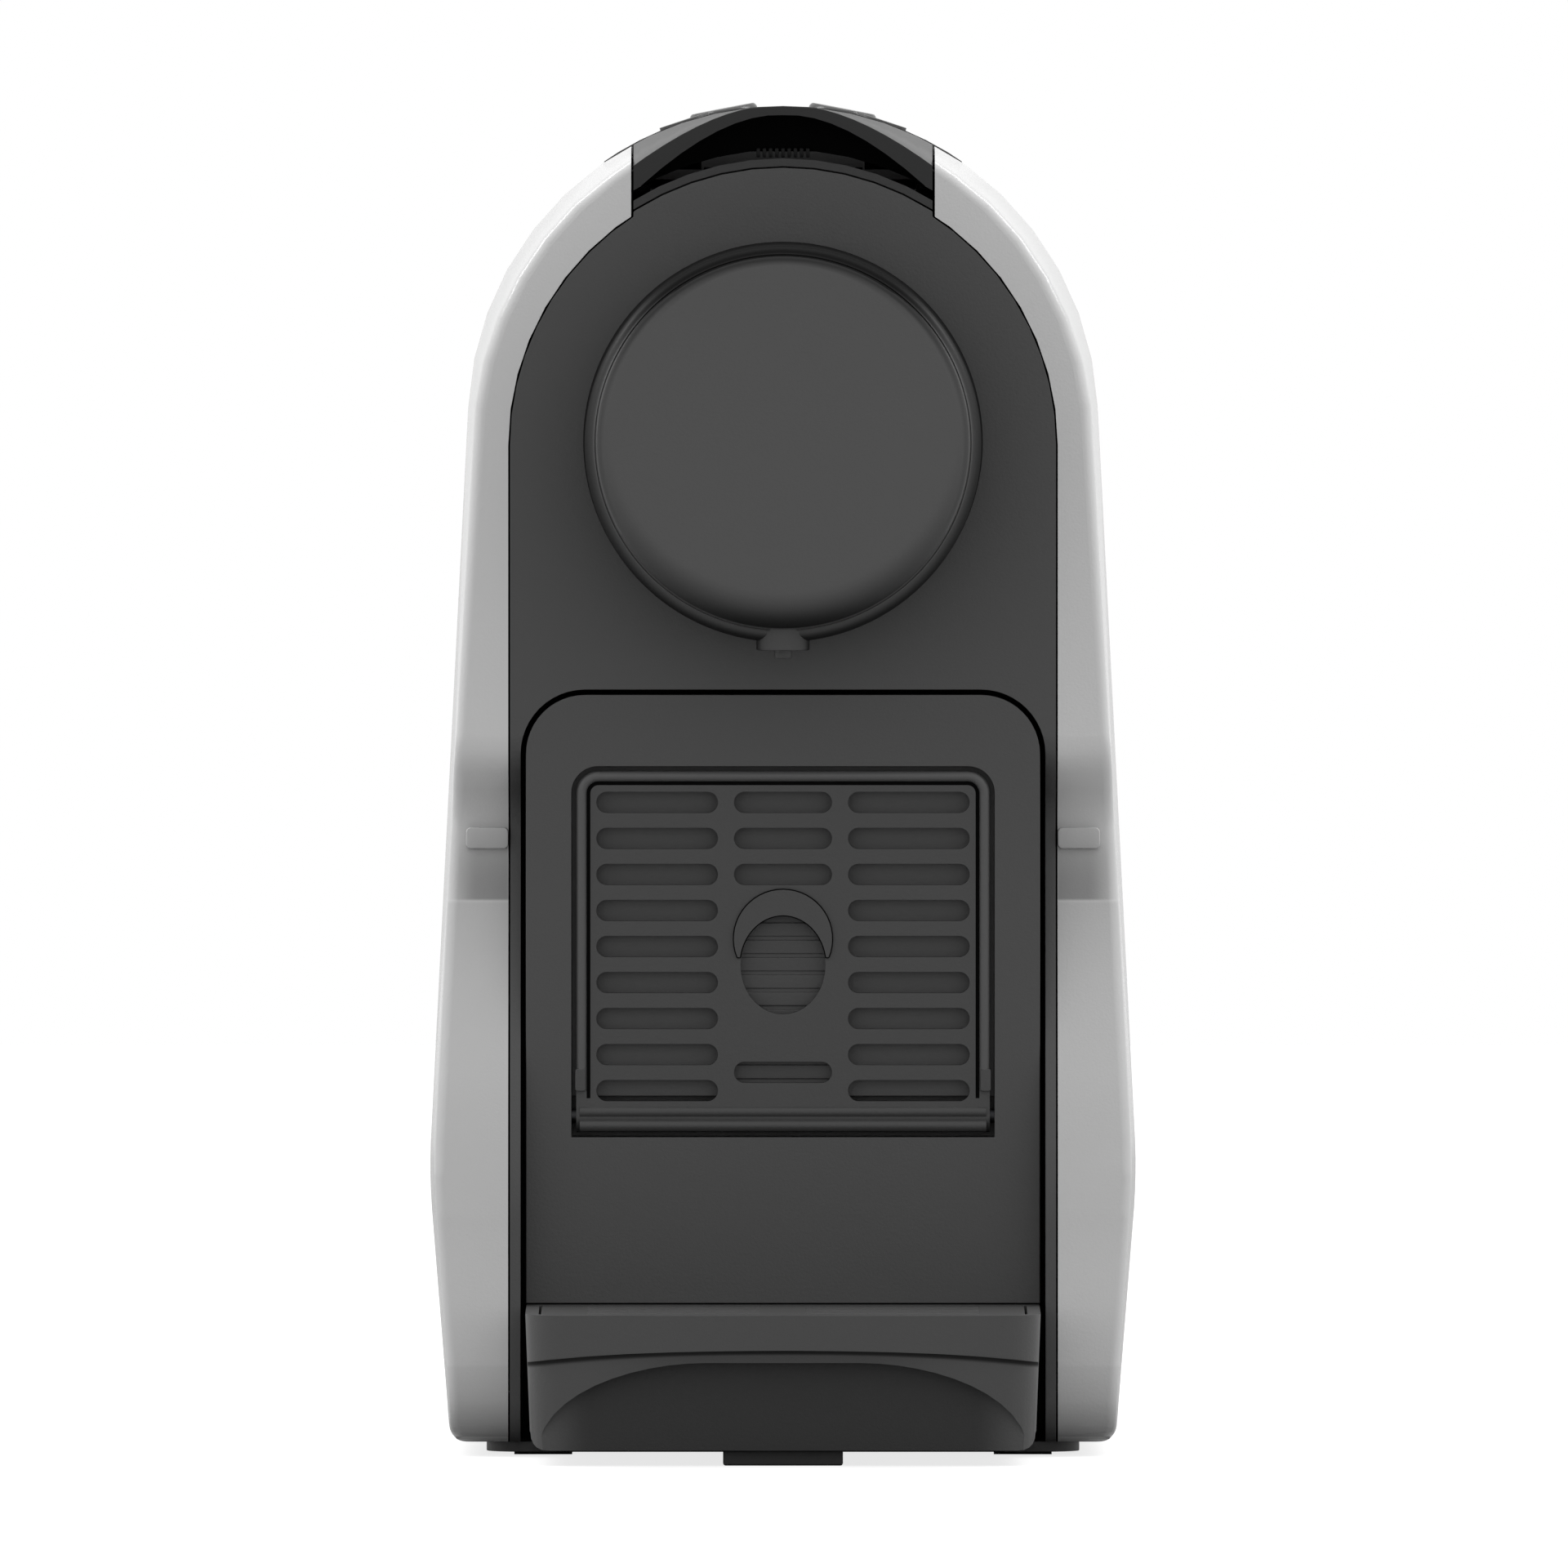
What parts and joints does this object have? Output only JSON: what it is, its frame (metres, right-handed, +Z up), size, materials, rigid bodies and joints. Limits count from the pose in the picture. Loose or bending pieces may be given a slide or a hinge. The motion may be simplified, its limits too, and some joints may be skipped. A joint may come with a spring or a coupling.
{
  "type": "pod coffee machine",
  "caption": "Narrow pod coffee machine with an arched casing, lifting lever, round brew head, pull-out drip tray and pod bin, folding cup rest and lift-off water tank.",
  "frame": {"origin": "middle of the footprint, on the surface the machine stands on", "axes": "+Z up, the front with the brew head faces -Y, +X to the right seen from behind the front"},
  "size_m": [0.1196, 0.321, 0.2283],
  "materials": {
    "shell_white": "smooth satin gloss",
    "dark_plastic": "fine matt grain",
    "inner_plastic": "matt, moulded",
    "smoked_tank": "clear, lightly smoked",
    "steel": "turned",
    "cast_aluminium": "die cast",
    "copper": "wound wire",
    "silicone": "translucent milky",
    "rubber": "matt",
    "circuit_board": "lacquered board"
  },
  "bodies": {
    "casing": {"side_shell_right": "shell_white", "side_shell_left": "shell_white", "front_plate": "dark_plastic", "top_panel": "dark_plastic", "rear_wall": "inner_plastic", "base_plate": "inner_plastic", "foot_front_left": "rubber", "foot_front_right": "rubber", "foot_rear_left": "rubber", "foot_rear_right": "rubber", "base_screw_front_left": "steel", "base_screw_front_right": "steel", "base_screw_rear_left": "steel", "base_screw_rear_right": "steel", "bay_liner": "inner_plastic", "brew_head": "dark_plastic", "outlet_duct": "inner_plastic", "nozzle": "dark_plastic", "brew_frame": "inner_plastic", "piercing_plate": "steel", "rocker_shaft": "steel", "button_spring_left": "steel", "button_spring_right": "steel", "button_board": "circuit_board", "rear_base": "inner_plastic", "valve_spigot": "inner_plastic", "valve_seal": "rubber", "cord_gland": "rubber", "thermoblock": "cast_aluminium", "pump_coil": "copper", "pump_body": "steel", "pump_mount_front": "rubber", "pump_mount_rear": "rubber", "flow_meter": "inner_plastic", "control_board": "circuit_board", "hose_tank": "silicone", "hose_meter": "silicone", "hose_heater": "silicone"},
    "lever_unit": {"lever": "dark_plastic", "lever_shaft": "steel", "drive_gear": "cast_aluminium"},
    "rocker": {"rocker_arm": "cast_aluminium", "rocker_pin": "steel"},
    "cage": {"brew_cage": "cast_aluminium"},
    "button_left": {"button_left": "dark_plastic"},
    "button_right": {"button_right": "dark_plastic"},
    "drawer_unit": {"drip_tray": "dark_plastic", "tray_foot": "rubber", "container_front": "dark_plastic", "capsule_container": "inner_plastic", "cup_support_pin_left": "steel", "cup_support_pin_right": "steel"},
    "grid": {"tray_grid": "inner_plastic"},
    "flap": {"cup_support": "dark_plastic"},
    "tank": {"water_tank": "smoked_tank", "lid_hinge_pin": "steel", "valve_spring": "steel"},
    "lid": {"tank_lid": "inner_plastic"},
    "valve": {"valve_plunger": "dark_plastic"}
  },
  "joints": [
    {"name": "lever_open", "type": "hinge", "parent": "casing", "child": "lever_unit", "pos_m": [0, -0.026, 0.213], "axis": [-1, 0, 0], "range_deg": [0, 80]},
    {"name": "rocker_swing", "type": "hinge", "parent": "casing", "child": "rocker", "pos_m": [0, -0.026, 0.196], "axis": [1, 0, 0], "range_deg": [0, 70.5]},
    {"name": "cage_slide", "type": "slide", "parent": "casing", "child": "cage", "axis": [0, 1, 0], "range_m": [0, 0.0242]},
    {"name": "drawer_pull", "type": "slide", "parent": "casing", "child": "drawer_unit", "axis": [0, -1, 0], "range_m": [0, 0.15]},
    {"name": "grid_lift", "type": "slide", "parent": "drawer_unit", "child": "grid", "axis": [0, 0, 1], "range_m": [0, 0.08]},
    {"name": "flap_fold", "type": "hinge", "parent": "drawer_unit", "child": "flap", "pos_m": [0, -0.0944, 0.0574], "axis": [1, 0, 0], "range_deg": [0, 90]},
    {"name": "tank_lift", "type": "slide", "parent": "casing", "child": "tank", "axis": [0, 0, 1], "range_m": [0, 0.24]},
    {"name": "lid_open", "type": "hinge", "parent": "tank", "child": "lid", "pos_m": [0, 0.1582, 0.19625], "axis": [-1, 0, 0], "range_deg": [0, 95]},
    {"name": "valve_close", "type": "slide", "parent": "tank", "child": "valve", "axis": [0, 0, -1], "range_m": [0, 0.003], "deforming": ["valve_spring"]},
    {"name": "button_right_press", "type": "slide", "parent": "casing", "child": "button_right", "axis": [-0.1896, 0, -0.9819], "range_m": [0, 0.0012], "stiffness_N_per_m": 600, "springref_m": -0.001, "deforming": ["button_spring_right"]},
    {"name": "button_left_press", "type": "slide", "parent": "casing", "child": "button_left", "axis": [0.1896, 0, -0.9819], "range_m": [0, 0.0012], "stiffness_N_per_m": 600, "springref_m": -0.001, "deforming": ["button_spring_left"]}
  ],
  "couplings": [
    {"joint": "rocker_swing", "follows": "lever_open", "ratio": 0.875},
    {"joint": "cage_slide", "follows": "lever_open", "m_per_rad": 0.017163},
    {"joint": "valve_close", "follows": "tank_lift", "ratio": 0.0125}
  ]
}
